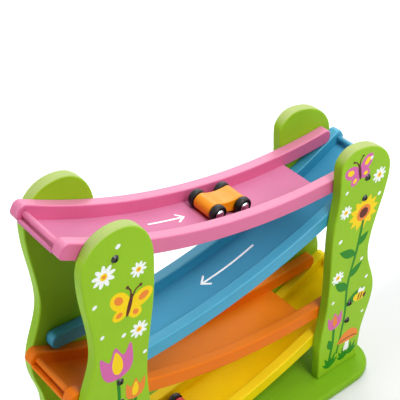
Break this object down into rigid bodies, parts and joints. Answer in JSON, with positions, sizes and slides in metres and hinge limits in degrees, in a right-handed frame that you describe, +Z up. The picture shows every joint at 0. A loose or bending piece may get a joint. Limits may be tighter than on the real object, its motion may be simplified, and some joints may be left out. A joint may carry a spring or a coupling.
{
  "type": "click clack track toy",
  "caption": "Wooden click clack track: curved ramps zigzag between wavy posts on a rounded base, with flip-over cars that roll down and drop from ramp to ramp.",
  "frame": {"origin": "middle of the base board's underside", "axes": "+X along the track towards the short posts, +Y to the back, +Z up"},
  "size_m": [0.343, 0.125, 0.317],
  "materials": {
    "green_board": "painted, satin",
    "pink_rail": "painted, satin",
    "pink_floor": "painted, satin",
    "blue_rail": "painted, satin",
    "blue_floor": "painted, satin",
    "orange_rail": "painted, satin",
    "orange_floor": "painted, satin",
    "yellow_rail": "painted, satin",
    "yellow_floor": "painted, satin",
    "black_screw": "satin black",
    "steel_screw": "zinc plated",
    "upper_car": "painted, satin",
    "lower_car": "painted, satin",
    "steel_axle": "bright",
    "black_wheel": "moulded black",
    "chrome_cap": "polished"
  },
  "bodies": {
    "frame": {"base_board": "green_board", "rail_screws": "black_screw", "base_screws": "steel_screw", "post_front_left": "green_board", "post_front_right": "green_board", "post_back_left": "green_board", "post_back_right": "green_board", "pink_rail_front": "pink_rail", "pink_rail_back": "pink_rail", "pink_floor": "pink_floor", "pink_end_bar": "pink_rail", "blue_rail_front": "blue_rail", "blue_rail_back": "blue_rail", "blue_floor": "blue_floor", "blue_end_bar": "blue_rail", "orange_rail_front": "orange_rail", "orange_rail_back": "orange_rail", "orange_floor": "orange_floor", "orange_end_bar": "orange_rail", "yellow_rail_front": "yellow_rail", "yellow_rail_back": "yellow_rail", "yellow_floor": "yellow_floor", "yellow_end_bar": "yellow_rail", "yellow_stop_bar": "yellow_rail"},
    "upper_car": {"upper_car_body": "upper_car"},
    "upper_front_axle_set": {"upper_front_axle": "steel_axle", "upper_front_wheels": "black_wheel", "upper_front_caps": "chrome_cap"},
    "upper_rear_axle_set": {"upper_rear_axle": "steel_axle", "upper_rear_wheels": "black_wheel", "upper_rear_caps": "chrome_cap"},
    "lower_car": {"lower_car_body": "lower_car"},
    "lower_front_axle_set": {"lower_front_axle": "steel_axle", "lower_front_wheels": "black_wheel", "lower_front_caps": "chrome_cap"},
    "lower_rear_axle_set": {"lower_rear_axle": "steel_axle", "lower_rear_wheels": "black_wheel", "lower_rear_caps": "chrome_cap"}
  },
  "joints": [
    {"name": "upper_car_run", "type": "hinge", "parent": "frame", "child": "upper_car", "pos_m": [0.101, 0, 0.79093], "axis": [0, -1, 0], "range_deg": [-15.7, 8.45]},
    {"name": "lower_car_run", "type": "hinge", "parent": "frame", "child": "lower_car", "pos_m": [-0.101, 0, 0.57], "axis": [0, 1, 0], "range_deg": [-20.67, 7.86]},
    {"name": "upper_front_spin", "type": "hinge", "parent": "upper_car", "child": "upper_front_axle_set", "pos_m": [0.01528, 0, 0.25089], "axis": [0, 1, 0], "continuous": true},
    {"name": "upper_rear_spin", "type": "hinge", "parent": "upper_car", "child": "upper_rear_axle_set", "pos_m": [-0.01128, 0, 0.25578], "axis": [0, 1, 0], "continuous": true},
    {"name": "lower_front_spin", "type": "hinge", "parent": "lower_car", "child": "lower_front_axle_set", "pos_m": [-0.05943, 0, 0.02478], "axis": [0, -1, 0], "continuous": true},
    {"name": "lower_rear_spin", "type": "hinge", "parent": "lower_car", "child": "lower_rear_axle_set", "pos_m": [-0.03257, 0, 0.0275], "axis": [0, -1, 0], "continuous": true}
  ],
  "couplings": [
    {"joint": "upper_front_spin", "follows": "upper_car_run", "ratio": 73.947},
    {"joint": "upper_rear_spin", "follows": "upper_car_run", "ratio": 73.947},
    {"joint": "lower_front_spin", "follows": "lower_car_run", "ratio": 73.947},
    {"joint": "lower_rear_spin", "follows": "lower_car_run", "ratio": 73.947}
  ]
}
